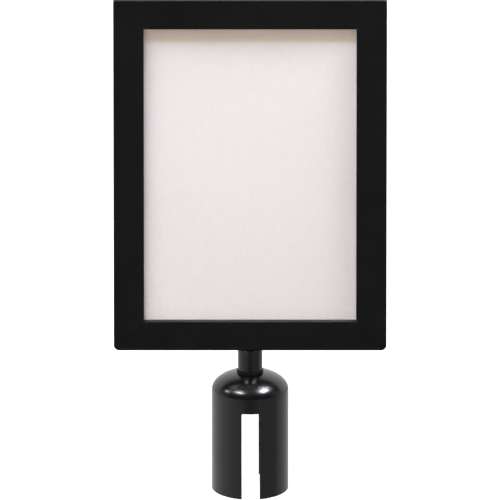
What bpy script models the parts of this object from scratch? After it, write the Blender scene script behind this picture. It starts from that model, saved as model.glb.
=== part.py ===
"""Sign frame on a short swivel neck, carried by a slotted cap that slips over a belt post's head.

Metres, +Z up. The origin is the centre of the cap's bottom rim, and the sign faces -Y. The neck
bolt lies on the Z axis, which the sign turns about. The covers and the sheet lift along +Z.
"""

import math

import bmesh
import bpy
from mathutils import Euler, Vector

MM = 0.001
GAP = 0.3 * MM

# Sign frame
FRAME_WIDTH = 250 * MM
FRAME_HEIGHT = 340 * MM
FRAME_DEPTH = 20 * MM
FRAME_BOTTOM = 136.6 * MM
BOTTOM_CORNER_RADIUS = 4.8 * MM
TOP_CORNER_RADIUS = 1.6 * MM
MITRE_GAP = 0.3 * MM

# Rail section
RAIL_WIDTH = 27.8 * MM
RAIL_WALL = 1.8 * MM
RAIL_CHAMFER = 0.6 * MM
GROOVE_DEPTH = 9.3 * MM
GROOVE_HALF = 2.75 * MM
LIP_WALL = 1.5 * MM

# Clear covers and the sheet between them
COVER_THICKNESS = 2 * MM
SHEET_THICKNESS = 0.3 * MM
SHEET_WIDTH = 210 * MM
SHEET_HEIGHT = 297 * MM
COVER_WIDTH = 212 * MM
COVER_BELOW_TOP = 0.8 * MM
COVER_CORNER = 1.2 * MM

# Corner keys and their set screws
KEY_LEG = 30 * MM
KEY_CHAMFER = 4 * MM
SCREW_RADIUS = 2 * MM
SCREW_LENGTH = 5 * MM
SCREW_SOCKET = 2 * MM
SCREW_SOCKET_DEPTH = 2 * MM
SCREW_RECESS = 0.4 * MM
SCREW_ALONG_KEY = 22 * MM
SCREW_SEGMENTS = 24

# Cap
CAP_RADIUS = 35.2 * MM
CAP_WALL = 2.4 * MM
CAP_SHOULDER = 95.8 * MM
DOME_HEIGHT = 17.2 * MM
LAND_RADIUS = 12.6 * MM
RIM_CHAMFER = 0.5 * MM
SLOT_WIDTH = 16.6 * MM
SLOT_HEIGHT = 83.5 * MM
SLOT_CORNER = 1.2 * MM
CAP_TURN = math.radians(0.9)

# Seat inside the cap
SEAT_BOTTOM = 86 * MM
SEAT_HEIGHT = 9 * MM
SEAT_HOLE_RADIUS = 15 * MM
SEAT_CHAMFER = 1 * MM

# Neck, bolt and washers
NECK_RADIUS = 11.3 * MM
NECK_BORE_RADIUS = 4.5 * MM
NECK_CHAMFER = 0.5 * MM
SWIVEL_WASHER_RADIUS = 12.1 * MM
SWIVEL_WASHER_HEIGHT = 3 * MM
BOLT_RADIUS = 4 * MM
BOLT_TOP_ABOVE_PLATE = 2.5 * MM
BOLT_HEAD_RADIUS = 6.5 * MM
BOLT_HEAD_HEIGHT = 8 * MM
BOLT_SOCKET = 6 * MM
BOLT_SOCKET_DEPTH = 4 * MM
HOLE_RADIUS = 4.3 * MM
INNER_WASHER_RADIUS = 11 * MM
INNER_WASHER_HEIGHT = 1.5 * MM
FLAT_WASHER_RADIUS = 10 * MM
FLAT_WASHER_HEIGHT = 1.6 * MM
SPRING_WASHER_RADIUS = 7.2 * MM
SPRING_WASHER_HEIGHT = 2.2 * MM
SPRING_WASHER_SLIT = math.radians(8)
NUT_PLATE_LENGTH = 36 * MM
NUT_PLATE_HEIGHT = 8 * MM

CAP_STEPS = 64
TURN_STEPS = 40
DOME_POINTS = 8
ARC_POINTS = 4
MERGE = 0.00001

# Worked out from the sizes above
FRAME_TOP = FRAME_BOTTOM + FRAME_HEIGHT
FRAME_MIDDLE = FRAME_BOTTOM + FRAME_HEIGHT / 2
HALF_WIDTH = FRAME_WIDTH / 2
HALF_DEPTH = FRAME_DEPTH / 2
CHAMBER_HALF = HALF_DEPTH - RAIL_WALL
CHAMBER_INNER = RAIL_WIDTH - GROOVE_DEPTH - RAIL_WALL
GROOVE_BOTTOM = RAIL_WIDTH - GROOVE_DEPTH
KEY_THICKNESS = CHAMBER_INNER - RAIL_WALL - 2 * GAP
KEY_HALF_DEPTH = CHAMBER_HALF - GAP
KEY_OFFSET = RAIL_WALL + GAP
PACK_BOTTOM = FRAME_BOTTOM + GROOVE_BOTTOM + GAP
CAP_BORE_RADIUS = CAP_RADIUS - CAP_WALL


def dome_height_at(radius, wall=0.0):
    """Height of the dome's surface, or of the surface one wall thickness below it, at a radius."""
    across = radius / (CAP_RADIUS - wall)
    return CAP_SHOULDER + (DOME_HEIGHT - wall) * math.sqrt(1 - across * across)


LAND_TOP = dome_height_at(LAND_RADIUS)
LAND_UNDERSIDE = LAND_TOP - CAP_WALL
NECK_BOTTOM = LAND_TOP + GAP + SWIVEL_WASHER_HEIGHT + GAP
NUT_PLATE_BOTTOM = FRAME_BOTTOM + RAIL_WALL + GAP


# Scene, materials and placing

def clear_scene():
    for obj in list(bpy.data.objects):
        bpy.data.objects.remove(obj, do_unlink=True)


def new_collection(name):
    collection = bpy.data.collections.new(name)
    bpy.context.scene.collection.children.link(collection)
    return collection


def new_material(name, colour, roughness, metallic=0.0, alpha=1.0):
    material = bpy.data.materials.new(name)
    material.use_nodes = True
    material.diffuse_color = (*colour, alpha)
    shader = material.node_tree.nodes["Principled BSDF"]
    shader.inputs["Base Color"].default_value = (*colour, 1)
    shader.inputs["Roughness"].default_value = roughness
    shader.inputs["Metallic"].default_value = metallic
    shader.inputs["Alpha"].default_value = alpha
    return material


def place(obj, location, rotation=(0, 0, 0), parent=None):
    """Puts an object at a world location, also when it hangs on an unrotated parent."""
    obj.parent = parent
    obj.location = Vector(location) - (parent.location if parent else Vector())
    obj.rotation_euler = rotation
    return obj


def add_part(name, mesh, material, location=(0, 0, 0), rotation=(0, 0, 0), parent=None):
    obj = bpy.data.objects.new(name, mesh)
    PARTS.objects.link(obj)
    if not mesh.materials:
        mesh.materials.append(material)
    return place(obj, location, rotation, parent)


def add_cutter(name, mesh, location=(0, 0, 0), rotation=(0, 0, 0)):
    obj = bpy.data.objects.new(name, mesh)
    CUTTERS.objects.link(obj)
    obj.display_type = "WIRE"
    obj.hide_render = True
    return place(obj, location, rotation)


def boolean(obj, cutter, operation="DIFFERENCE"):
    modifier = obj.modifiers.new(cutter.name, "BOOLEAN")
    modifier.object = cutter
    modifier.operation = operation
    modifier.solver = "EXACT"


def evaluated_mesh(obj):
    """A welded mesh of the object as its modifiers leave it."""
    bpy.context.view_layer.update()
    graph = bpy.context.evaluated_depsgraph_get()
    mesh = bpy.data.meshes.new_from_object(obj.evaluated_get(graph))
    shape = bmesh.new()
    shape.from_mesh(mesh)
    bmesh.ops.remove_doubles(shape, verts=shape.verts, dist=MERGE / 10)
    bmesh.ops.recalc_face_normals(shape, faces=shape.faces)
    shape.to_mesh(mesh)
    shape.free()
    return mesh


# Shapes

def outline_mesh(name, outlines, thickness):
    """A flat outline and the holes in it, with a thickness centred on local Z."""
    curve = bpy.data.curves.new(name, "CURVE")
    curve.dimensions = "2D"
    curve.fill_mode = "BOTH"
    curve.extrude = thickness / 2
    for outline in outlines:
        spline = curve.splines.new("POLY")
        spline.points.add(len(outline) - 1)
        spline.use_cyclic_u = True
        for point, (x, y) in zip(spline.points, outline):
            point.co = (x, y, 0, 1)
    guide = bpy.data.objects.new(name, curve)
    CUTTERS.objects.link(guide)
    mesh = evaluated_mesh(guide)
    mesh.name = name
    bpy.data.objects.remove(guide, do_unlink=True)
    bpy.data.curves.remove(curve)
    return mesh


def turned_mesh(name, profile, steps, closed=True):
    """A profile of (radius, height) points turned about Z. It runs down its outer side."""
    mesh = bpy.data.meshes.new(name)
    count = len(profile)
    edges = [(i, i + 1) for i in range(count - 1)]
    if closed:
        edges.append((count - 1, 0))
    mesh.from_pydata([(radius, 0, height) for radius, height in profile], edges, [])
    blank = bpy.data.objects.new(name, mesh)
    CUTTERS.objects.link(blank)
    screw = blank.modifiers.new("turn", "SCREW")
    screw.steps = steps
    screw.render_steps = steps
    screw.use_merge_vertices = True
    screw.merge_threshold = MERGE
    turned = evaluated_mesh(blank)
    turned.name = name
    bpy.data.objects.remove(blank, do_unlink=True)
    turned.shade_smooth()
    turned.set_sharp_from_angle(angle=math.radians(30))
    return turned


def box_mesh(name, size):
    shape = bmesh.new()
    bmesh.ops.create_cube(shape, size=1)
    bmesh.ops.scale(shape, vec=size, verts=shape.verts)
    return finished(name, shape)


def cylinder_mesh(name, radius, length, segments):
    shape = bmesh.new()
    bmesh.ops.create_cone(
        shape, cap_ends=True, segments=segments, radius1=radius, radius2=radius, depth=length
    )
    return finished(name, shape)


def hexagon_mesh(name, across_flats, length):
    return cylinder_mesh(name, across_flats / math.sqrt(3), length, 6)


def finished(name, shape):
    mesh = bpy.data.meshes.new(name)
    shape.to_mesh(mesh)
    shape.free()
    return mesh


def rectangle(x0, y0, x1, y1):
    return [(x0, y0), (x1, y0), (x1, y1), (x0, y1)]


def arc(centre_x, centre_y, radius, start, end, points=ARC_POINTS):
    turn = (end - start) / points
    return [
        (centre_x + radius * math.cos(start + turn * i), centre_y + radius * math.sin(start + turn * i))
        for i in range(points + 1)
    ]


def ring_profile(outer, inner, bottom, top, chamfer=0.0):
    """A ring's section, with its two outer edges chamfered."""
    if not chamfer:
        return [(outer, top), (outer, bottom), (inner, bottom), (inner, top)]
    return [
        (outer - chamfer, top),
        (outer, top - chamfer),
        (outer, bottom + chamfer),
        (outer - chamfer, bottom),
        (inner, bottom),
        (inner, top),
    ]


# Frame rails. Local X runs from the rail's outer edge inwards, Y through its depth, Z along it.

def rail_section():
    """The rail's outline with its groove, then its main hollow and the hollow of each lip."""
    cut = RAIL_CHAMFER
    outside = [
        (cut, -HALF_DEPTH),
        (RAIL_WIDTH - cut, -HALF_DEPTH),
        (RAIL_WIDTH, -HALF_DEPTH + cut),
        (RAIL_WIDTH, -GROOVE_HALF),
        (GROOVE_BOTTOM, -GROOVE_HALF),
        (GROOVE_BOTTOM, GROOVE_HALF),
        (RAIL_WIDTH, GROOVE_HALF),
        (RAIL_WIDTH, HALF_DEPTH - cut),
        (RAIL_WIDTH - cut, HALF_DEPTH),
        (cut, HALF_DEPTH),
        (0, HALF_DEPTH - cut),
        (0, -HALF_DEPTH + cut),
    ]
    chamber = rectangle(RAIL_WALL, -CHAMBER_HALF, CHAMBER_INNER, CHAMBER_HALF)
    lip = (GROOVE_BOTTOM, GROOVE_HALF + LIP_WALL, RAIL_WIDTH - LIP_WALL, CHAMBER_HALF)
    rear_hollow = rectangle(*lip)
    front_hollow = [(x, -y) for x, y in rear_hollow]
    return [outside, chamber, rear_hollow, front_hollow]


def mitre_outline(length, low_radius, high_radius):
    """What the mitres and rounded corners leave of a rail, as (inwards, along) points."""
    back_off = MITRE_GAP / math.sqrt(2)

    def end(radius):
        start = math.radians(135) + math.asin(back_off / (radius * math.sqrt(2)))
        corner = arc(radius, length / 2 - radius, radius, start, math.pi)
        inner = (RAIL_WIDTH + GAP, length / 2 - RAIL_WIDTH - GAP - back_off)
        return [inner] + corner

    low_end = [(x, -z) for x, z in reversed(end(low_radius))]
    return end(high_radius) + low_end


def add_rail(name, length, location, rotation, low_radius, high_radius):
    section = outline_mesh(name, rail_section(), length)
    rail = add_part(name, section, COATED, location, rotation, SIGN_PIVOT)
    outline = mitre_outline(length, low_radius, high_radius)
    mesh = outline_mesh(name + "_mitre", [outline], FRAME_DEPTH + 2 * RAIL_WALL)
    turned = Euler(rotation).to_matrix() @ Euler((math.pi / 2, 0, 0)).to_matrix()
    mitre = add_cutter(name + "_mitre", mesh, location, turned.to_euler())
    boolean(rail, mitre, "INTERSECT")
    return rail


def add_frame():
    """The four rails, with the loading slot, the bolt hole and the screw holes."""
    low = BOTTOM_CORNER_RADIUS
    high = TOP_CORNER_RADIUS
    quarter = math.pi / 2
    left = add_rail(
        "frame_rail_left", FRAME_HEIGHT, (-HALF_WIDTH, 0, FRAME_MIDDLE), (0, 0, 0), low, high
    )
    right = add_rail(
        "frame_rail_right", FRAME_HEIGHT, (HALF_WIDTH, 0, FRAME_MIDDLE), (0, 0, math.pi), low, high
    )
    bottom = add_rail(
        "frame_rail_bottom", FRAME_WIDTH, (0, 0, FRAME_BOTTOM), (0, -quarter, 0), low, low
    )
    top = add_rail("frame_rail_top", FRAME_WIDTH, (0, 0, FRAME_TOP), (0, quarter, 0), high, high)

    slot_width = COVER_WIDTH + 6 * GAP
    slot = add_cutter(
        "loading_slot",
        box_mesh("loading_slot", (slot_width, 2 * GROOVE_HALF, 2 * RAIL_WIDTH)),
        (0, 0, FRAME_TOP),
    )
    boolean(top, slot)
    bolt_hole = add_cutter(
        "bolt_hole",
        cylinder_mesh("bolt_hole", NECK_BORE_RADIUS, 4 * RAIL_WALL, TURN_STEPS),
        (0, 0, FRAME_BOTTOM),
    )
    boolean(bottom, bolt_hole)
    return left, right, bottom, top


# Corner keys. One angle block, turned into each corner.

def screw_places():
    """Corner name, leg name and (x, z) of each set screw."""
    middle = KEY_OFFSET + KEY_THICKNESS / 2
    places = []
    for corner, side, end in corners():
        edge_x = side * HALF_WIDTH
        edge_z = FRAME_MIDDLE + end * FRAME_HEIGHT / 2
        level = (edge_x - side * SCREW_ALONG_KEY, edge_z - end * middle)
        upright = (edge_x - side * middle, edge_z - end * SCREW_ALONG_KEY)
        places.append((corner, "level", level))
        places.append((corner, "upright", upright))
    return places


def corners():
    """Each corner's name, with -1 or 1 for left or right and for bottom or top."""
    return [
        ("bottom_left", -1, -1),
        ("bottom_right", 1, -1),
        ("top_left", -1, 1),
        ("top_right", 1, 1),
    ]


def add_corner_keys():
    """Angle blocks whose level legs are forked, so that the covers slide between the tines."""
    leg, thick, cut = KEY_LEG, KEY_THICKNESS, KEY_CHAMFER
    outline = [
        (cut, 0), (leg, 0), (leg, thick), (thick, thick), (thick, leg), (0, leg), (0, cut)
    ]
    mesh = outline_mesh("corner_key", [outline], 2 * KEY_HALF_DEPTH)
    quarter = math.pi / 2
    turns = {
        "bottom_left": (quarter, 0, 0),
        "bottom_right": (quarter, 0, math.pi),
        "top_left": (-quarter, 0, 0),
        "top_right": (-quarter, 0, math.pi),
    }
    fork_start = HALF_WIDTH - COVER_WIDTH / 2 - 4 * GAP
    fork_length = KEY_LEG
    keys = []
    for corner, side, end in corners():
        place_x = side * (HALF_WIDTH - KEY_OFFSET)
        place_z = FRAME_MIDDLE + end * (FRAME_HEIGHT / 2 - KEY_OFFSET)
        key = add_part(
            "corner_key_" + corner, mesh, CAST, (place_x, 0, place_z), turns[corner], SIGN_PIVOT
        )
        fork_x = side * (HALF_WIDTH - fork_start - fork_length / 2)
        fork_z = place_z - end * KEY_THICKNESS / 2
        fork = add_cutter(
            "fork_" + corner,
            box_mesh("fork", (fork_length, 2 * (GROOVE_HALF + GAP / 2), KEY_THICKNESS + 2 * GAP)),
            (fork_x, 0, fork_z),
        )
        boolean(key, fork)
        keys.append(key)
    return keys


def add_key_screws(holed):
    """Eight socket set screws in the rear face, and their holes in the rails and keys."""
    hole_depth = SCREW_RECESS + SCREW_LENGTH + GAP
    hole = cylinder_mesh("screw_hole", SCREW_RADIUS + GAP, 2 * hole_depth, SCREW_SEGMENTS)
    blank = add_cutter(
        "screw_blank", cylinder_mesh("screw_blank", SCREW_RADIUS, SCREW_LENGTH, SCREW_SEGMENTS)
    )
    socket = add_cutter(
        "screw_socket",
        hexagon_mesh("screw_socket", SCREW_SOCKET, 2 * SCREW_SOCKET_DEPTH),
        (0, 0, SCREW_LENGTH / 2),
    )
    boolean(blank, socket)
    mesh = evaluated_mesh(blank)
    outwards = (-math.pi / 2, 0, 0)
    for corner, leg, (x, z) in screw_places():
        depth = HALF_DEPTH - SCREW_RECESS - SCREW_LENGTH / 2
        name = "key_screw_" + corner + "_" + leg
        add_part(name, mesh, STEEL, (x, depth, z), outwards, SIGN_PIVOT)
        cutter = add_cutter("hole_" + name, hole, (x, HALF_DEPTH, z), outwards)
        for obj in holed[corner, leg]:
            boolean(obj, cutter)


# Clear covers and the sheet

def panel_outline(width, height, corner):
    if not corner:
        return rectangle(-width / 2, 0, width / 2, height)
    quarter = math.pi / 2
    right = width / 2 - corner
    top = height - corner
    return (
        arc(-right, corner, corner, 2 * quarter, 3 * quarter)
        + arc(right, corner, corner, 3 * quarter, 4 * quarter)
        + arc(right, top, corner, 0, quarter)
        + arc(-right, top, corner, quarter, 2 * quarter)
    )


def add_panels():
    """A sheet between two clear covers, standing in the rails' groove."""
    cover_height = FRAME_TOP - COVER_BELOW_TOP - PACK_BOTTOM
    upright = (math.pi / 2, 0, 0)
    cover_outline = panel_outline(COVER_WIDTH, cover_height, COVER_CORNER)
    cover = outline_mesh("cover", [cover_outline], COVER_THICKNESS)
    sheet_outline = panel_outline(SHEET_WIDTH, SHEET_HEIGHT, 0)
    sheet = outline_mesh("sheet", [sheet_outline], SHEET_THICKNESS)
    offset = SHEET_THICKNESS / 2 + GAP + COVER_THICKNESS / 2
    add_part("front_cover", cover, CLEAR, (0, -offset, PACK_BOTTOM), upright, SIGN_PIVOT)
    add_part("sign_sheet", sheet, PAPER, (0, 0, PACK_BOTTOM), upright, SIGN_PIVOT)
    add_part("rear_cover", cover, CLEAR, (0, offset, PACK_BOTTOM), upright, SIGN_PIVOT)


# Neck, bolt and washers, from the bottom rail down into the cap

def add_neck():
    profile = ring_profile(
        NECK_RADIUS, NECK_BORE_RADIUS, NECK_BOTTOM, FRAME_BOTTOM - GAP, NECK_CHAMFER
    )
    mesh = turned_mesh("neck_tube", shifted(profile, -LAND_TOP), TURN_STEPS)
    add_part("neck_tube", mesh, COATED, (0, 0, LAND_TOP), parent=SIGN_PIVOT)
    plate_depth = 2 * (CHAMBER_HALF - GAP)
    plate_mesh = box_mesh("nut_plate", (NUT_PLATE_LENGTH, plate_depth, NUT_PLATE_HEIGHT))
    plate_middle = NUT_PLATE_BOTTOM + NUT_PLATE_HEIGHT / 2
    plate = add_part("nut_plate", plate_mesh, STEEL, (0, 0, plate_middle), parent=SIGN_PIVOT)
    thread = cylinder_mesh("plate_hole", HOLE_RADIUS, 2 * NUT_PLATE_HEIGHT, TURN_STEPS)
    boolean(plate, add_cutter("plate_hole", thread, (0, 0, plate_middle)))


def shifted(profile, rise):
    return [(radius, height + rise) for radius, height in profile]


def add_ring(name, material, outer, inner, top, height, parent=None, chamfer=0.0):
    """A washer below a given height. It returns the height for what lies under it."""
    profile = ring_profile(outer, inner, -height, 0, chamfer)
    mesh = turned_mesh(name, profile, TURN_STEPS)
    add_part(name, mesh, material, (0, 0, top), parent=parent)
    return top - height - GAP


def add_bolt_stack():
    """The washers and the bolt, hanging under the dome's land."""
    washer_top = LAND_TOP + GAP + SWIVEL_WASHER_HEIGHT
    add_ring(
        "swivel_washer", NYLON, SWIVEL_WASHER_RADIUS, HOLE_RADIUS, washer_top, SWIVEL_WASHER_HEIGHT
    )
    top = LAND_UNDERSIDE - GAP
    top = add_ring(
        "inner_washer", NYLON, INNER_WASHER_RADIUS, HOLE_RADIUS, top, INNER_WASHER_HEIGHT
    )
    top = add_ring(
        "flat_washer", STEEL, FLAT_WASHER_RADIUS, HOLE_RADIUS, top, FLAT_WASHER_HEIGHT, SIGN_PIVOT
    )
    spring_middle = top - SPRING_WASHER_HEIGHT / 2
    add_part(
        "spring_washer", spring_washer_mesh(), STEEL, (0, 0, spring_middle), parent=SIGN_PIVOT
    )
    head_top = top - SPRING_WASHER_HEIGHT - GAP
    bolt_top = NUT_PLATE_BOTTOM + NUT_PLATE_HEIGHT + BOLT_TOP_ABOVE_PLATE
    add_bolt(head_top, bolt_top)


def spring_washer_mesh():
    """A flat ring that is slit through on one side."""
    start = SPRING_WASHER_SLIT / 2
    end = 2 * math.pi - start
    outer = arc(0, 0, SPRING_WASHER_RADIUS, start, end, TURN_STEPS)
    inner = arc(0, 0, HOLE_RADIUS, end, start, TURN_STEPS)
    return outline_mesh("spring_washer", [outer + inner], SPRING_WASHER_HEIGHT)


def add_bolt(head_top, bolt_top):
    """A socket-head bolt, head down, with its tip above the nut plate."""
    length = bolt_top - head_top
    cut = NECK_CHAMFER
    profile = [
        (0, length),
        (BOLT_RADIUS - cut, length),
        (BOLT_RADIUS, length - cut),
        (BOLT_RADIUS, 0),
        (BOLT_HEAD_RADIUS, 0),
        (BOLT_HEAD_RADIUS, -BOLT_HEAD_HEIGHT + cut),
        (BOLT_HEAD_RADIUS - cut, -BOLT_HEAD_HEIGHT),
        (0, -BOLT_HEAD_HEIGHT),
    ]
    mesh = turned_mesh("neck_bolt", profile, TURN_STEPS, closed=False)
    bolt = add_part("neck_bolt", mesh, STEEL, (0, 0, head_top), parent=SIGN_PIVOT)
    socket = hexagon_mesh("bolt_socket", BOLT_SOCKET, 2 * BOLT_SOCKET_DEPTH)
    boolean(bolt, add_cutter("bolt_socket", socket, (0, 0, head_top - BOLT_HEAD_HEIGHT)))


# Cap

def dome_curve(wall):
    """The dome's side from its flat land down to the shoulder, evenly spaced round the ellipse."""
    radius = CAP_RADIUS - wall
    start = math.acos(LAND_RADIUS / radius)
    points = []
    for i in range(DOME_POINTS + 1):
        angle = start * (1 - i / DOME_POINTS)
        points.append((radius * math.cos(angle), CAP_SHOULDER + (DOME_HEIGHT - wall) * math.sin(angle)))
    return points


def add_cap():
    """The sleeve and dome as one shell, with a belt slot through its front and one behind."""
    outer = [(HOLE_RADIUS, LAND_TOP)] + dome_curve(0.0)
    cut = RIM_CHAMFER
    rim = [
        (CAP_RADIUS, cut),
        (CAP_RADIUS - cut, 0),
        (CAP_BORE_RADIUS + cut, 0),
        (CAP_BORE_RADIUS, cut),
    ]
    inner = list(reversed(dome_curve(CAP_WALL)))
    profile = outer + rim + inner + [(HOLE_RADIUS, inner[-1][1])]
    mesh = turned_mesh("slotted_cap", profile, CAP_STEPS)
    cap = add_part("slotted_cap", mesh, COATED, rotation=(0, 0, CAP_TURN))
    half = SLOT_WIDTH / 2
    low = -SLOT_CORNER
    round_x = half - SLOT_CORNER
    round_z = SLOT_HEIGHT - SLOT_CORNER
    quarter = math.pi / 2
    outline = (
        [(-half, low), (half, low)]
        + arc(round_x, round_z, SLOT_CORNER, 0, quarter)
        + arc(-round_x, round_z, SLOT_CORNER, quarter, 2 * quarter)
    )
    slot = outline_mesh("belt_slot", [outline], 3 * CAP_RADIUS)
    boolean(cap, add_cutter("belt_slot", slot, rotation=(quarter, 0, CAP_TURN)))


def add_post_seat():
    radius = CAP_BORE_RADIUS - GAP
    profile = ring_profile(radius, SEAT_HOLE_RADIUS, 0, SEAT_HEIGHT, SEAT_CHAMFER)
    mesh = turned_mesh("post_seat", profile, TURN_STEPS)
    add_part("post_seat", mesh, RUBBER, (0, 0, SEAT_BOTTOM))


clear_scene()
PARTS = new_collection("sign_stand")
CUTTERS = new_collection("sign_stand_cutters")
COATED = new_material("black_powder_coat", (0.012, 0.012, 0.013), 0.42)
CAST = new_material("cast_aluminium", (0.55, 0.55, 0.56), 0.5, metallic=1.0)
STEEL = new_material("zinc_plated_steel", (0.6, 0.6, 0.62), 0.35, metallic=1.0)
CLEAR = new_material("clear_acrylic", (0.92, 0.95, 0.95), 0.05, alpha=0.2)
PAPER = new_material("white_paper", (0.86, 0.85, 0.84), 0.75)
NYLON = new_material("black_nylon", (0.01, 0.01, 0.01), 0.5)
RUBBER = new_material("grey_rubber", (0.05, 0.05, 0.05), 0.8)

SIGN_PIVOT = bpy.data.objects.new("sign_pivot", None)
PARTS.objects.link(SIGN_PIVOT)
SIGN_PIVOT.location = (0, 0, LAND_TOP)

left_rail, right_rail, bottom_rail, top_rail = add_frame()
corner_keys = dict(zip([corner for corner, side, end in corners()], add_corner_keys()))
holed_parts = {}
for corner, side, end in corners():
    level_rail = bottom_rail if end < 0 else top_rail
    upright_rail = left_rail if side < 0 else right_rail
    holed_parts[corner, "level"] = (level_rail, corner_keys[corner])
    holed_parts[corner, "upright"] = (upright_rail, corner_keys[corner])
add_key_screws(holed_parts)
add_panels()
add_neck()
add_bolt_stack()
add_cap()
add_post_seat()
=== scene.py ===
"""Looks of the sign frame: finer shells over the CAD frame, their materials, and a plain studio.

Every place and outer size comes from the CAD frame. Local sizes that the frame's boxes can't give,
such as edge rounding, are named below, in metres.
"""

import math

import bmesh
import bpy
from mathutils import Euler, Matrix, Vector, geometry


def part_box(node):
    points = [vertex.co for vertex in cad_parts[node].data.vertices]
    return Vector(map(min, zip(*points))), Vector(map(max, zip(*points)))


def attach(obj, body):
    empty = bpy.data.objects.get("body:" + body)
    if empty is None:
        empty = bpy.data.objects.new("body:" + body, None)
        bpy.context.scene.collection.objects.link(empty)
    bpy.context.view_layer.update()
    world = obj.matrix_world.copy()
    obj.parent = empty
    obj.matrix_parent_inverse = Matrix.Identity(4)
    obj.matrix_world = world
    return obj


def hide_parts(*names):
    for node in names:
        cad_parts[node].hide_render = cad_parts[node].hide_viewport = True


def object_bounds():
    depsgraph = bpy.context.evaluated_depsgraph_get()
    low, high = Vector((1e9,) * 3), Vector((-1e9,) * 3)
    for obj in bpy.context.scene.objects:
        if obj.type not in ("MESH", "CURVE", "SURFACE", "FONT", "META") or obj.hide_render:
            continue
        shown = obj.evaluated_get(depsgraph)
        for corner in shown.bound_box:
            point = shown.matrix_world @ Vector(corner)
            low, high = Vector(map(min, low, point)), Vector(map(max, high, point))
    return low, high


MM = 0.001

# Rail section, as the CAD rails have it
RAIL_WALL = 1.8 * MM
GROOVE_DEPTH = 9.3 * MM
GROOVE_HALF = 2.75 * MM
LIP_WALL = 1.5 * MM
BOTTOM_CORNER_RADIUS = 4.8 * MM
TOP_CORNER_RADIUS = 1.6 * MM

# Edge rounding and the fine mitre line. The mitre's bevel is smaller than any rounding.
OUTER_EDGE = 0.9 * MM
WINDOW_EDGE = 0.6 * MM
GROOVE_EDGE = 0.3 * MM
MITRE_BEVEL = 0.25 * MM
MITRE_GAP = 0.05 * MM
CORNER_STEPS = 7

# Holes in the rails: the loading slot's room beside the covers, and the set screws' clearance
LOADING_ROOM = 0.9 * MM
SCREW_CLEARANCE = 0.15 * MM

# Clear covers and the sheet between them
COVER_CORNER = 1.2 * MM
COVER_EDGE = 0.25 * MM
SHEET_WAVE = 0.06 * MM
SHEET_COLUMNS = 42
SHEET_ROWS = 60

# Cap
CAP_WALL = 2.4 * MM
CAP_SHOULDER = 95.8 * MM
DOME_HEIGHT = 17.2 * MM
LAND_RADIUS = 12.6 * MM
CAP_TURN = math.radians(0.9)
SLOT_WIDTH = 16.6 * MM
SLOT_HEIGHT = 83.5 * MM
SLOT_CORNER = 1.2 * MM
SLOT_PAST_RIM = 5 * MM
CAP_EDGE = 0.22 * MM
CAP_STEPS = 192
DOME_STEPS = 28

# Small turned parts
HOLE_RADIUS = 4.3 * MM
NECK_BORE_RADIUS = 4.5 * MM
SEAT_HOLE_RADIUS = 15 * MM
TURN_STEPS = 96
SOFT_EDGE = 0.35 * MM
THIN_EDGE = 0.2 * MM
SEAT_EDGE = 1.0 * MM

# Camera: how wide the picture is at the object, where it aims and how steeply it looks down
VIEW_WIDTH = 0.45796
VIEW_AIM = Vector((-0.0001, 0, 0.2312))
VIEW_ELEVATION = math.radians(20)
LENS = 1600.0
SENSOR = 36.0
CLIP_IN_FRONT = 2.0
CLIP_BEHIND = 20.0

# Floor, and where the lamps aim
FLOOR_SIZE = 12.0
FLOOR_DROP = 0.2 * MM
SHEET_MIDDLE = Vector((0, 0, 0.3))
DOME_TOP = Vector((0, 0, 0.105))

# How bright the room is, as (azimuth in degrees, level) points: straight down, below the horizon,
# above it, and overhead. Each band fades into the next between two heights of the direction.
WORLD_GROUND = [(-180, 0.3), (-90, 0.2), (0, 0.04), (90, 0.2), (180, 0.3)]
WORLD_BELOW = [
    (-180, 0.9), (-110, 0.95), (-83, 0.84), (-38, 0.60), (0, 0.20),
    (34, 0.42), (79, 0.37), (105, 0.68), (180, 0.9),
]
WORLD_LEVEL = [
    (-180, 1.2), (-125, 1.05), (-95, 0.5), (-60, 0.06),
    (60, 0.06), (95, 0.5), (125, 1.15), (180, 1.2),
]
WORLD_CEILING = [(-180, 0.10), (180, 0.10)]
GROUND_TO_BELOW = (-0.7, -0.45)
BELOW_TO_LEVEL = (-0.1, 0.12)
LEVEL_TO_CEILING = (0.55, 0.78)

# The base colour of the powder coat
BLACK = (0.0048, 0.0051, 0.0054)


# Small helpers

def new_object(name, mesh, material=None):
    obj = bpy.data.objects.new(name, mesh)
    bpy.context.scene.collection.objects.link(obj)
    if material:
        mesh.materials.clear()
        mesh.materials.append(material)
    return obj


def mesh_from(name, shape):
    mesh = bpy.data.meshes.new(name)
    shape.to_mesh(mesh)
    shape.free()
    return mesh


def apply_modifiers(obj):
    bpy.context.view_layer.update()
    graph = bpy.context.evaluated_depsgraph_get()
    mesh = bpy.data.meshes.new_from_object(obj.evaluated_get(graph))
    obj.modifiers.clear()
    obj.data = mesh


def cut(obj, cutters):
    """Cuts the cutters out of an object for good, and removes them."""
    for cutter in cutters:
        modifier = obj.modifiers.new("cut", "BOOLEAN")
        modifier.object = cutter
        modifier.solver = "EXACT"
    apply_modifiers(obj)
    for cutter in cutters:
        bpy.data.objects.remove(cutter, do_unlink=True)


def smooth_edges(obj, sharp_angle=35):
    """Smooth shading that keeps flat faces flat beside rounded edges."""
    obj.data.shade_smooth()
    obj.data.set_sharp_from_angle(angle=math.radians(sharp_angle))
    normals = obj.modifiers.new("flat faces", "WEIGHTED_NORMAL")
    normals.keep_sharp = True
    normals.weight = 100


def soften(obj, width, segments=3, angle=40):
    """Rounds every edge sharper than an angle."""
    bevel = obj.modifiers.new("edges", "BEVEL")
    bevel.width = width
    bevel.segments = segments
    bevel.limit_method = "ANGLE"
    bevel.angle_limit = math.radians(angle)
    bevel.use_clamp_overlap = True
    apply_modifiers(obj)


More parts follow.
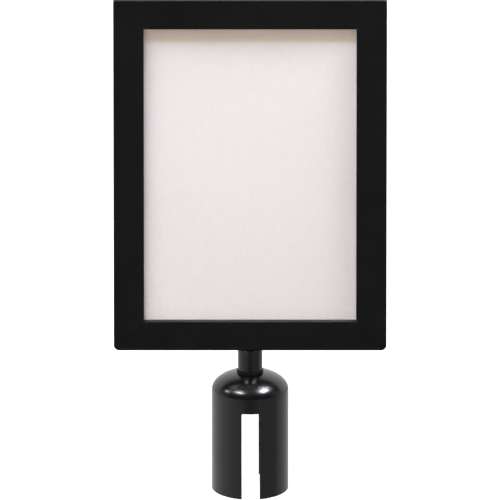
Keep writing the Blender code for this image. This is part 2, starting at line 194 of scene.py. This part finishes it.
def filleted(corners, steps=5):
    """A closed outline from (x, y, radius) corners, each rounded by its radius."""
    outline = []
    count = len(corners)
    for i, (x, y, radius) in enumerate(corners):
        here = Vector((x, y))
        if not radius:
            outline.append((x, y))
            continue
        before = (Vector(corners[i - 1][:2]) - here).normalized()
        after = (Vector(corners[(i + 1) % count][:2]) - here).normalized()
        half = before.angle(after) / 2
        reach = radius / math.tan(half)
        middle = here + (before + after).normalized() * (radius / math.sin(half))
        start = here + before * reach - middle
        end = here + after * reach - middle
        for step in range(steps + 1):
            outline.append(tuple(middle + start.slerp(end, step / steps) * radius))
    return outline


def inset(outline, distance):
    """The outline moved inwards by a distance. It runs anticlockwise."""
    moved = []
    count = len(outline)
    for i in range(count):
        before = Vector(outline[i - 1])
        here = Vector(outline[i])
        after = Vector(outline[(i + 1) % count])
        first = (here - before).normalized()
        second = (after - here).normalized()
        normal = Vector((-first.y - second.y, first.x + second.x)).normalized()
        lean = max(0.5, normal.dot(Vector((-first.y, first.x))))
        moved.append(tuple(here + normal * (distance / lean)))
    return moved


def extruded(name, outline, low, high):
    """An outline in X and Z, given a thickness along Y from low to high."""
    shape = bmesh.new()
    rings = [[shape.verts.new((x, y, z)) for x, z in outline] for y in (low, high)]
    shape.faces.new(rings[0])
    shape.faces.new(list(reversed(rings[1])))
    for i in range(len(outline)):
        j = (i + 1) % len(outline)
        shape.faces.new((rings[0][j], rings[0][i], rings[1][i], rings[1][j]))
    bmesh.ops.recalc_face_normals(shape, faces=shape.faces)
    return mesh_from(name, shape)


def turned(name, profile, steps=TURN_STEPS):
    """A closed (radius, height) profile turned about Z."""
    shape = bmesh.new()
    rings = []
    for k in range(steps):
        angle = 2 * math.pi * k / steps
        across, along = math.cos(angle), math.sin(angle)
        rings.append([shape.verts.new((r * across, r * along, z)) for r, z in profile])
    count = len(profile)
    for k in range(steps):
        here, there = rings[k], rings[(k + 1) % steps]
        for i in range(count):
            j = (i + 1) % count
            shape.faces.new((here[i], here[j], there[j], there[i]))
    bmesh.ops.remove_doubles(shape, verts=shape.verts, dist=1e-7)
    bmesh.ops.dissolve_degenerate(shape, edges=shape.edges, dist=1e-7)
    bmesh.ops.recalc_face_normals(shape, faces=shape.faces)
    return mesh_from(name, shape)


def prism(name, sides, radius, length, location, rotation=(0, 0, 0)):
    """A cutter: a prism of many or few sides, centred at a place."""
    shape = bmesh.new()
    bmesh.ops.create_cone(
        shape, cap_ends=True, segments=sides, radius1=radius, radius2=radius, depth=length
    )
    bmesh.ops.transform(
        shape,
        matrix=Matrix.Translation(location) @ Euler(rotation).to_matrix().to_4x4(),
        verts=shape.verts,
    )
    return new_object(name, mesh_from(name, shape))


def box_cutter(name, low, high):
    shape = bmesh.new()
    bmesh.ops.create_cube(shape, size=1)
    size = high - low
    bmesh.ops.scale(shape, vec=size, verts=shape.verts)
    bmesh.ops.translate(shape, vec=(low + high) / 2, verts=shape.verts)
    return new_object(name, mesh_from(name, shape))


# Materials

def new_material(name):
    """A material, its nodes and links, its shader and object coordinates."""
    material = bpy.data.materials.new(name)
    material.use_nodes = True
    tree = material.node_tree
    shader = tree.nodes["Principled BSDF"]
    place = tree.nodes.new("ShaderNodeTexCoord")
    return material, tree, shader, place.outputs["Object"]


def noise(tree, place, scale, detail=2.0, rough=0.5):
    node = tree.nodes.new("ShaderNodeTexNoise")
    node.inputs["Scale"].default_value = scale
    node.inputs["Detail"].default_value = detail
    node.inputs["Roughness"].default_value = rough
    tree.links.new(place, node.inputs["Vector"])
    return node.outputs["Fac"]


def spread(tree, value, low, high, from_low=0.3, from_high=0.7):
    """The value's middle range, spread between two numbers."""
    node = tree.nodes.new("ShaderNodeMapRange")
    node.inputs["From Min"].default_value = from_low
    node.inputs["From Max"].default_value = from_high
    node.inputs["To Min"].default_value = low
    node.inputs["To Max"].default_value = high
    tree.links.new(value, node.inputs["Value"])
    return node.outputs["Result"]


def ramp(tree, value, low_colour, high_colour, low=0.35, high=0.65):
    node = tree.nodes.new("ShaderNodeValToRGB")
    node.color_ramp.elements[0].position = low
    node.color_ramp.elements[1].position = high
    node.color_ramp.elements[0].color = (*low_colour, 1)
    node.color_ramp.elements[1].color = (*high_colour, 1)
    tree.links.new(value, node.inputs["Fac"])
    return node.outputs["Color"]


def bump(tree, height, strength, distance, under=None):
    node = tree.nodes.new("ShaderNodeBump")
    node.inputs["Strength"].default_value = strength
    node.inputs["Distance"].default_value = distance
    tree.links.new(height, node.inputs["Height"])
    if under:
        tree.links.new(under, node.inputs["Normal"])
    return node.outputs["Normal"]


def maths(tree, operation, first, second):
    """A sum, product or the like of two values, each a number or a socket."""
    node = tree.nodes.new("ShaderNodeMath")
    node.operation = operation
    for socket, value in zip(node.inputs, (first, second)):
        if isinstance(value, float):
            socket.default_value = value
        else:
            tree.links.new(value, socket)
    return node.outputs["Value"]


def powder_coat(name, colour, roughness, specular, grain):
    """Baked black powder: a soft orange peel with a finer grain over it, and faint handling marks."""
    material, tree, shader, place = new_material(name)
    dark = tuple(c * 0.8 for c in colour)
    light = tuple(c * 1.25 for c in colour)
    tone = ramp(tree, noise(tree, place, 35, 4), dark, light)
    tree.links.new(tone, shader.inputs["Base Color"])
    marks = spread(tree, noise(tree, place, 60, 5, 0.6), roughness - 0.04, roughness + 0.05)
    tree.links.new(marks, shader.inputs["Roughness"])
    peel = bump(tree, noise(tree, place, 520, 2), 0.16, 0.12 * MM)
    fine = bump(tree, noise(tree, place, 2600, 2), grain, 0.05 * MM, peel)
    tree.links.new(fine, shader.inputs["Normal"])
    shader.inputs["Specular IOR Level"].default_value = specular
    return material


def clear_acrylic():
    """Polished acrylic with a trace of haze."""
    material, tree, shader, place = new_material("clear_acrylic")
    shader.inputs["Base Color"].default_value = (0.975, 0.985, 0.985, 1)
    shader.inputs["Transmission Weight"].default_value = 1.0
    shader.inputs["IOR"].default_value = 1.49
    haze = spread(tree, noise(tree, place, 90, 4), 0.015, 0.04)
    tree.links.new(haze, shader.inputs["Roughness"])
    return material


def paper():
    """Uncoated white card with fine fibres."""
    material, tree, shader, place = new_material("white_paper")
    tone = ramp(tree, noise(tree, place, 260, 5, 0.6), (0.80, 0.79, 0.785), (0.84, 0.83, 0.825))
    tree.links.new(tone, shader.inputs["Base Color"])
    shader.inputs["Roughness"].default_value = 0.85
    shader.inputs["Specular IOR Level"].default_value = 0.25
    fibres = bump(tree, noise(tree, place, 1800, 3), 0.15, 0.04 * MM)
    tree.links.new(fibres, shader.inputs["Normal"])
    return material


def plated_steel():
    """Zinc plating, slightly clouded."""
    material, tree, shader, place = new_material("zinc_plated_steel")
    shader.inputs["Metallic"].default_value = 1.0
    tone = ramp(tree, noise(tree, place, 300, 3), (0.50, 0.51, 0.53), (0.62, 0.63, 0.65))
    tree.links.new(tone, shader.inputs["Base Color"])
    marks = spread(tree, noise(tree, place, 900, 3), 0.28, 0.42)
    tree.links.new(marks, shader.inputs["Roughness"])
    tree.links.new(bump(tree, noise(tree, place, 2400, 2), 0.1, 0.03 * MM), shader.inputs["Normal"])
    return material


def cast_aluminium():
    """A die-cast skin, dull and faintly pitted."""
    material, tree, shader, place = new_material("cast_aluminium")
    shader.inputs["Metallic"].default_value = 1.0
    tone = ramp(tree, noise(tree, place, 200, 4), (0.42, 0.42, 0.43), (0.56, 0.56, 0.57))
    tree.links.new(tone, shader.inputs["Base Color"])
    marks = spread(tree, noise(tree, place, 500, 3), 0.45, 0.6)
    tree.links.new(marks, shader.inputs["Roughness"])
    tree.links.new(bump(tree, noise(tree, place, 1400, 3), 0.4, 0.1 * MM), shader.inputs["Normal"])
    return material


def moulded(name, low_colour, high_colour, roughness, specular, bump_strength):
    """Nylon or rubber, with the fine mottle of a moulding."""
    material, tree, shader, place = new_material(name)
    tone = ramp(tree, noise(tree, place, 400, 3), low_colour, high_colour)
    tree.links.new(tone, shader.inputs["Base Color"])
    marks = spread(tree, noise(tree, place, 700, 3), roughness - 0.06, roughness + 0.06)
    tree.links.new(marks, shader.inputs["Roughness"])
    shader.inputs["Specular IOR Level"].default_value = specular
    grain = bump(tree, noise(tree, place, 1500, 3), bump_strength, 0.06 * MM)
    tree.links.new(grain, shader.inputs["Normal"])
    return material


# Frame rails. Local X runs inwards from the outer edge, Y through the depth, Z along the rail.

def rail_loops(width, half_depth):
    """The rail's outline, then its main hollow and its two lip hollows."""
    groove = width - GROOVE_DEPTH
    outside = filleted([
        (0, -half_depth, OUTER_EDGE),
        (width, -half_depth, WINDOW_EDGE),
        (width, -GROOVE_HALF, GROOVE_EDGE),
        (groove, -GROOVE_HALF, 0),
        (groove, GROOVE_HALF, 0),
        (width, GROOVE_HALF, GROOVE_EDGE),
        (width, half_depth, WINDOW_EDGE),
        (0, half_depth, OUTER_EDGE),
    ])
    wall_y = half_depth - RAIL_WALL
    chamber_x = groove - RAIL_WALL
    chamber = [
        (RAIL_WALL, -wall_y), (RAIL_WALL, wall_y), (chamber_x, wall_y), (chamber_x, -wall_y)
    ]
    lip_x = width - LIP_WALL
    lip_y = GROOVE_HALF + LIP_WALL
    rear = [(groove, lip_y), (groove, wall_y), (lip_x, wall_y), (lip_x, lip_y)]
    front = [(x, -y) for x, y in reversed(rear)]
    return [outside, chamber, rear, front]


def end_place(inwards, half_length, radius, step, back_off):
    """Where a line at some distance inwards is, step by step round a corner to the mitre."""
    if inwards >= radius:
        return inwards, half_length - inwards - back_off
    angle = math.pi - (math.pi / 4) * step / CORNER_STEPS
    reach = radius - inwards
    along = half_length - radius + reach * math.sin(angle)
    return radius + reach * math.cos(angle), along - back_off * step / CORNER_STEPS


def end_face(loops):
    """The loops of the mitre's face, where the outline is smaller by the bevel round it."""
    return [inset(loops[0], MITRE_BEVEL)] + loops[1:]


def rail_stations(loops, half_length, low_radius, high_radius):
    """Rings of points from one mitre to the other. The last ring at each end is a fine bevel."""
    bevelled = end_face(loops)
    full_back = MITRE_GAP + MITRE_BEVEL

    def ring(shapes, radius, step, back_off, sign):
        return [
            [
                (place[0], y, sign * place[1])
                for x, y in loop
                for place in [end_place(x, half_length, radius, step, back_off)]
            ]
            for loop in shapes
        ]

    steps = range(CORNER_STEPS + 1)
    low = [ring(loops, low_radius, step, full_back, -1) for step in steps]
    high = [ring(loops, high_radius, step, full_back, 1) for step in steps]
    low_end = ring(bevelled, low_radius, CORNER_STEPS, MITRE_GAP, -1)
    high_end = ring(bevelled, high_radius, CORNER_STEPS, MITRE_GAP, 1)
    return [low_end] + low[::-1] + high + [high_end]


def rail_mesh(name, half_length, width, half_depth, low_radius, high_radius, placing):
    """One mitred hollow rail, swept from mitre to mitre and set in place."""
    loops = rail_loops(width, half_depth)
    stations = rail_stations(loops, half_length, low_radius, high_radius)
    shape = bmesh.new()
    rings = [[[shape.verts.new(p) for p in loop] for loop in station] for station in stations]
    for here, there in zip(rings, rings[1:]):
        for near, far in zip(here, there):
            for i in range(len(near)):
                j = (i + 1) % len(near)
                shape.faces.new((near[i], near[j], far[j], far[i]))
    flat_loops = [[Vector((x, y, 0)) for x, y in loop] for loop in end_face(loops)]
    triangles = geometry.tessellate_polygon(flat_loops)
    for ring_set in (rings[0], rings[-1]):
        corners = [vert for loop in ring_set for vert in loop]
        for triangle in triangles:
            shape.faces.new([corners[i] for i in triangle])
    bmesh.ops.remove_doubles(shape, verts=shape.verts, dist=1e-7)
    bmesh.ops.dissolve_degenerate(shape, edges=shape.edges, dist=1e-7)
    bmesh.ops.recalc_face_normals(shape, faces=shape.faces)
    bmesh.ops.transform(shape, matrix=placing, verts=shape.verts)
    return mesh_from(name, shape)


def key_screws():
    return [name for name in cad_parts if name.startswith("key_screw")]


def middle_of(node):
    low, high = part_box(node)
    return (low + high) / 2


def screw_hole(node, rear):
    """A cutter for a set screw's hole, through the rear wall."""
    low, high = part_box(node)
    radius = (high.x - low.x) / 2 + SCREW_CLEARANCE
    place = middle_of(node)
    place.y = rear
    return prism("hole", 48, radius, 3 * RAIL_WALL, place, (math.pi / 2, 0, 0))


def rail_cutters(bottom, top, width, half_depth):
    """Cutters for each rail's set screw holes, for the loading slot and for the bolt hole."""
    middle = (bottom + top) / 2
    cutters = {"left": [], "right": [], "bottom": [], "top": []}
    for node in key_screws():
        place = middle_of(node)
        if node.endswith("upright"):
            side = "left" if place.x < 0 else "right"
        else:
            side = "bottom" if place.z < middle else "top"
        cutters[side].append(screw_hole(node, half_depth))
    cover_low, cover_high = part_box("front_cover")
    slot_low = Vector((cover_low.x - LOADING_ROOM, -GROOVE_HALF, top - width - MM))
    slot_high = Vector((cover_high.x + LOADING_ROOM, GROOVE_HALF, top + MM))
    cutters["top"].append(box_cutter("slot", slot_low, slot_high))
    bolt_place = (0, 0, bottom)
    bolt_hole = prism("bolt_hole", TURN_STEPS, NECK_BORE_RADIUS, 4 * RAIL_WALL, bolt_place)
    cutters["bottom"].append(bolt_hole)
    return cutters


def make_rails(material):
    """The four rails, with the loading slot, the bolt hole and the set screws' holes."""
    left_low, left_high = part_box("frame_rail_left")
    right_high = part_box("frame_rail_right")[1]
    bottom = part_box("frame_rail_bottom")[0].z
    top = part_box("frame_rail_top")[1].z
    width = left_high.x - left_low.x
    half_depth = (left_high.y - left_low.y) / 2
    middle = (bottom + top) / 2
    half_height = (top - bottom) / 2
    half_width = right_high.x
    quarter = math.pi / 2
    low, high = BOTTOM_CORNER_RADIUS, TOP_CORNER_RADIUS
    plans = {
        "left": (half_height, low, high, (-half_width, 0, middle), (0, 0, 0)),
        "right": (half_height, low, high, (half_width, 0, middle), (0, 0, math.pi)),
        "bottom": (half_width, low, low, (0, 0, bottom), (0, -quarter, 0)),
        "top": (half_width, high, high, (0, 0, top), (0, quarter, 0)),
    }
    rails = {}
    for side, (half_length, low_radius, high_radius, location, rotation) in plans.items():
        placing = Matrix.Translation(location) @ Euler(rotation).to_matrix().to_4x4()
        name = side + "_rail"
        mesh = rail_mesh(name, half_length, width, half_depth, low_radius, high_radius, placing)
        rails[side] = new_object(name, mesh, material)
    cutters = rail_cutters(bottom, top, width, half_depth)
    for side, rail in rails.items():
        cut(rail, cutters[side])
        smooth_edges(rail)
        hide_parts("frame_rail_" + side)
        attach(rail, "sign")


# Clear covers and the sheet

def make_panels(clear, sheet_paper):
    """Two clear covers with rounded corners, and the sheet."""
    for node in ("front_cover", "rear_cover"):
        low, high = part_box(node)
        outline = filleted([
            (low.x, low.z, COVER_CORNER),
            (high.x, low.z, COVER_CORNER),
            (high.x, high.z, COVER_CORNER),
            (low.x, high.z, COVER_CORNER),
        ], 8)
        cover = new_object("clear_" + node, extruded(node, outline, low.y, high.y), clear)
        soften(cover, COVER_EDGE, 2)
        smooth_edges(cover)
        # The lamps' light reaches the sheet straight through the clear covers
        cover.visible_shadow = False
        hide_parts(node)
        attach(cover, node)
    low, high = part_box("sign_sheet")
    sheet = new_object("paper_sheet", sheet_mesh(low, high), sheet_paper)
    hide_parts("sign_sheet")
    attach(sheet, "sheet")


def sheet_mesh(low, high):
    """A thin sheet on a fine grid, with the slight waviness of card that stands on its edge."""
    columns, rows = SHEET_COLUMNS, SHEET_ROWS
    shape = bmesh.new()
    size = high - low
    grids = []
    for y in (low.y + SHEET_WAVE, high.y - SHEET_WAVE):
        grid = []
        for row in range(rows + 1):
            for column in range(columns + 1):
                x = low.x + size.x * column / columns
                z = low.z + size.z * row / rows
                bow = SHEET_WAVE * math.sin(23 * x + 0.4) * math.cos(17 * z + 1.1)
                grid.append(shape.verts.new((x, y + bow, z)))
        grids.append(grid)
    across = columns + 1
    for row in range(rows):
        for column in range(columns):
            i = row * across + column
            for grid in grids:
                shape.faces.new((grid[i], grid[i + 1], grid[i + across + 1], grid[i + across]))
    rim = (
        list(range(across))
        + [row * across + columns for row in range(1, rows + 1)]
        + [rows * across + column for column in range(columns - 1, -1, -1)]
        + [row * across for row in range(rows - 1, 0, -1)]
    )
    for here, there in zip(rim, rim[1:] + rim[:1]):
        shape.faces.new((grids[0][here], grids[0][there], grids[1][there], grids[1][here]))
    bmesh.ops.recalc_face_normals(shape, faces=shape.faces)
    mesh = mesh_from("paper_sheet", shape)
    mesh.shade_smooth()
    mesh.set_sharp_from_angle(angle=math.radians(40))
    return mesh


# Cap

def dome_side(radius, height):
    """The dome's outline from its land to its shoulder, as (radius, height) points."""
    start = math.acos(LAND_RADIUS / radius)
    points = []
    for step in range(DOME_STEPS + 1):
        angle = start * (1 - step / DOME_STEPS)
        points.append((radius * math.cos(angle), CAP_SHOULDER + height * math.sin(angle)))
    return points


def make_cap(material):
    """The sleeve and dome as one shell, slotted front and rear, with softly rounded edges."""
    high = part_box("slotted_cap")[1]
    radius = high.y
    bore = radius - CAP_WALL
    outer = dome_side(radius, DOME_HEIGHT)
    inner = dome_side(bore, DOME_HEIGHT - CAP_WALL)
    profile = (
        [(HOLE_RADIUS, outer[0][1])]
        + outer
        + [(radius, 0), (bore, 0)]
        + inner[::-1]
        + [(HOLE_RADIUS, inner[0][1])]
    )
    cap = new_object("cap_shell", turned("cap_shell", profile, CAP_STEPS), material)
    half = SLOT_WIDTH / 2
    outline = filleted([
        (-half, -SLOT_PAST_RIM, 0),
        (half, -SLOT_PAST_RIM, 0),
        (half, SLOT_HEIGHT, SLOT_CORNER),
        (-half, SLOT_HEIGHT, SLOT_CORNER),
    ], 6)
    slot = new_object("slot", extruded("slot", outline, -2 * radius, 2 * radius))
    slot.rotation_euler = (0, 0, CAP_TURN)
    cut(cap, [slot])
    soften(cap, CAP_EDGE, 3, 50)
    smooth_edges(cap, 40)
    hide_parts("slotted_cap")
    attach(cap, "cap")


# Turned parts

def ring_profile(outer, inner, low, high, edge):
    """A ring's section with rounded corners."""
    return filleted([
        (inner, low, edge), (outer, low, edge), (outer, high, edge), (inner, high, edge)
    ], 4)


def make_ring(name, node, inner, edge, material, body):
    low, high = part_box(node)
    profile = ring_profile(high.x, inner, low.z, high.z, edge)
    ring = new_object(name, turned(name, profile), material)
    smooth_edges(ring)
    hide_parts(node)
    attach(ring, body)


def make_turned_parts(materials):
    """The neck, the round washers and the seat."""
    neck, nylon, steel, rubber = (materials[name] for name in ("neck", "nylon", "steel", "rubber"))
    make_ring("neck_sleeve", "neck_tube", NECK_BORE_RADIUS, SOFT_EDGE, neck, "sign")
    make_ring("collar_washer", "swivel_washer", HOLE_RADIUS, SOFT_EDGE, nylon, "cap")
    make_ring("thrust_washer", "inner_washer", HOLE_RADIUS, THIN_EDGE, nylon, "cap")
    make_ring("plain_washer", "flat_washer", HOLE_RADIUS, THIN_EDGE, steel, "sign")
    make_ring("seat_ring", "post_seat", SEAT_HOLE_RADIUS, SEAT_EDGE, rubber, "cap")


def finish_cad_nodes(materials):
    """Materials for the CAD nodes that stay."""
    for name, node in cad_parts.items():
        if name.startswith("corner_key"):
            finish = materials["cast"]
        elif name.startswith("key_screw") or name in ("neck_bolt", "nut_plate", "spring_washer"):
            finish = materials["steel"]
        else:
            continue
        for slot in node.material_slots:
            slot.material = finish


# Studio

def make_floor():
    """A pale table, lit from inside, so that it stays white under the cap and behind the sign."""
    material, tree, shader, place = new_material("pale_floor")
    tone = ramp(tree, noise(tree, place, 3, 2), (0.80, 0.80, 0.80), (0.82, 0.82, 0.82))
    tree.links.new(tone, shader.inputs["Base Color"])
    shader.inputs["Roughness"].default_value = 0.9
    shader.inputs["Specular IOR Level"].default_value = 0.1
    shader.inputs["Emission Color"].default_value = (1, 1, 1, 1)
    shader.inputs["Emission Strength"].default_value = 0.9
    shape = bmesh.new()
    bmesh.ops.create_grid(shape, x_segments=8, y_segments=8, size=FLOOR_SIZE)
    floor = new_object("floor", mesh_from("floor", shape), material)
    floor.location.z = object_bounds()[0].z - FLOOR_DROP
    floor.visible_glossy = False
    floor.visible_diffuse = False
    floor.visible_transmission = False


def direction(azimuth, elevation):
    """A unit vector. Azimuth 0 is the sign's front, and positive is towards +X."""
    across, up = math.radians(azimuth), math.radians(elevation)
    return Vector((math.sin(across) * math.cos(up), -math.cos(across) * math.cos(up), math.sin(up)))


def add_light(name, azimuth, elevation, distance, size, power, colour, target):
    """A rectangular lamp that faces its target. It doesn't show itself."""
    data = bpy.data.lights.new(name, "AREA")
    data.shape = "RECTANGLE"
    data.size, data.size_y = size
    data.energy = power
    data.color = colour
    light = bpy.data.objects.new(name, data)
    bpy.context.scene.collection.objects.link(light)
    towards = direction(azimuth, elevation)
    light.location = target + towards * distance
    light.rotation_euler = towards.to_track_quat("Z", "Y").to_euler()
    light.visible_camera = False
    light.visible_transmission = False
    return light


def make_lights():
    """A key that throws the top rail's shadow, soft fills, and small softboxes for the gloss."""
    white = (1.0, 1.0, 1.0)
    fills = (
        add_light("key", -12, 58, 6.0, (1.2, 0.3), 177, (0.505, 0.685, 1.0), SHEET_MIDDLE),
        add_light("low_fill", -6, 12, 4.0, (3.4, 2.2), 55, (1.0, 0.755, 0.565), SHEET_MIDDLE),
        add_light("high_fill", -4, 38, 4.0, (3.4, 2.6), 48, (1.0, 0.775, 0.60), SHEET_MIDDLE),
        add_light("rear_fill", 172, 25, 4.0, (3.4, 2.2), 48, (1.0, 0.98, 0.96), SHEET_MIDDLE),
    )
    for light in fills:
        light.visible_glossy = False
        # With it on, part of a large lamp's light is lost behind the clear covers
        light.data.cycles.use_multiple_importance_sampling = False
    glints = (
        add_light("glint_right", 81, 62, 1.2, (0.44, 0.24), 27, (0.93, 0.91, 1.0), DOME_TOP),
        add_light("glint_left", -53, 60, 1.2, (0.28, 0.12), 9, white, DOME_TOP),
        add_light("glint_far_left", -97, 40, 1.2, (0.30, 0.2), 3.2, white, DOME_TOP),
    )
    for light in glints:
        light.visible_diffuse = False


def make_world():
    """A room that is dim in front and overhead, paler at the sides, with a bright backdrop behind."""
    world = bpy.data.worlds.new("studio")
    world.use_nodes = True
    tree = world.node_tree
    place = tree.nodes.new("ShaderNodeTexCoord")
    parts = tree.nodes.new("ShaderNodeSeparateXYZ")
    tree.links.new(place.outputs["Generated"], parts.inputs["Vector"])
    forward = maths(tree, "MULTIPLY", parts.outputs["Y"], -1.0)
    azimuth = maths(tree, "ARCTAN2", parts.outputs["X"], forward)
    turn = spread(tree, azimuth, 0, 1, -math.pi, math.pi)

    def around(levels):
        """Brightness by azimuth in degrees."""
        node = tree.nodes.new("ShaderNodeValToRGB")
        node.color_ramp.interpolation = "EASE"
        while len(node.color_ramp.elements) < len(levels):
            node.color_ramp.elements.new(0.5)
        for element, (degrees, level) in zip(node.color_ramp.elements, levels):
            element.position = degrees / 360 + 0.5
            element.color = (level, level, level, 1)
        tree.links.new(turn, node.inputs["Fac"])
        return node.outputs["Color"]

    def blend(first, second, heights):
        """From the first to the second as the direction's height goes from one to the other."""
        factor = spread(tree, parts.outputs["Z"], 0, 1, *heights)
        node = tree.nodes.new("ShaderNodeMix")
        node.data_type = "RGBA"
        tree.links.new(factor, node.inputs["Factor"])
        tree.links.new(first, node.inputs["A"])
        tree.links.new(second, node.inputs["B"])
        return node.outputs["Result"]

    horizon = blend(around(WORLD_BELOW), around(WORLD_LEVEL), BELOW_TO_LEVEL)
    lower = blend(around(WORLD_GROUND), horizon, GROUND_TO_BELOW)
    room = blend(lower, around(WORLD_CEILING), LEVEL_TO_CEILING)

    # Seen directly, or straight through clear acrylic, the backdrop is plain white
    path = tree.nodes.new("ShaderNodeLightPath").outputs
    bounces = maths(tree, "ADD", path["Diffuse Depth"], path["Glossy Depth"])
    unbounced = maths(tree, "LESS_THAN", bounces, 0.5)
    through = maths(tree, "MULTIPLY", path["Is Transmission Ray"], unbounced)
    direct = maths(tree, "MAXIMUM", path["Is Camera Ray"], through)
    backdrop = tree.nodes.new("ShaderNodeMix")
    backdrop.data_type = "RGBA"
    backdrop.inputs["B"].default_value = (1, 1, 1, 1)
    tree.links.new(direct, backdrop.inputs["Factor"])
    tree.links.new(room, backdrop.inputs["A"])
    sky = tree.nodes["Background"]
    tree.links.new(backdrop.outputs["Result"], sky.inputs["Color"])
    sky.inputs["Strength"].default_value = 1.0
    bpy.context.scene.world = world


def make_camera():
    """A long lens from far off, so that the sign is nearly free of perspective."""
    data = bpy.data.cameras.new("camera")
    data.lens = LENS
    data.sensor_width = SENSOR
    distance = VIEW_WIDTH * LENS / SENSOR
    back = Vector((0, -math.cos(VIEW_ELEVATION), math.sin(VIEW_ELEVATION)))
    camera = bpy.data.objects.new("camera", data)
    bpy.context.scene.collection.objects.link(camera)
    camera.location = VIEW_AIM + back * distance
    camera.rotation_euler = back.to_track_quat("Z", "Y").to_euler()
    data.clip_start = distance - CLIP_IN_FRONT
    data.clip_end = distance + CLIP_BEHIND
    bpy.context.scene.camera = camera
    bpy.context.scene.view_settings.view_transform = "Standard"
    bpy.context.scene.view_settings.look = "None"


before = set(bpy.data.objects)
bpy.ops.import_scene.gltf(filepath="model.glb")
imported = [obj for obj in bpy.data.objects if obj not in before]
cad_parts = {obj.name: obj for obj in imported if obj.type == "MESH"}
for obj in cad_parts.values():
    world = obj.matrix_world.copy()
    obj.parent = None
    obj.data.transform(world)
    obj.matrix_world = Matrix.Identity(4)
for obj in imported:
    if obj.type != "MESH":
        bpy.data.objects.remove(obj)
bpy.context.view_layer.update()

make_camera()
finishes = {
    "frame": powder_coat("frame_powder_coat", BLACK, 0.40, 0.28, 0.08),
    "neck": powder_coat("neck_powder_coat", BLACK, 0.15, 0.44, 0.04),
    "cap": powder_coat("cap_powder_coat", BLACK, 0.22, 0.5, 0.08),
    "steel": plated_steel(),
    "cast": cast_aluminium(),
    "nylon": moulded("black_nylon", (0.004, 0.004, 0.004), (0.007, 0.007, 0.007), 0.6, 0.2, 0.15),
    "rubber": moulded("grey_rubber", (0.035, 0.035, 0.035), (0.05, 0.05, 0.05), 0.8, 0.4, 0.3),
}
make_rails(finishes["frame"])
make_panels(clear_acrylic(), paper())
make_cap(finishes["cap"])
make_turned_parts(finishes)
finish_cad_nodes(finishes)
make_floor()
make_lights()
make_world()
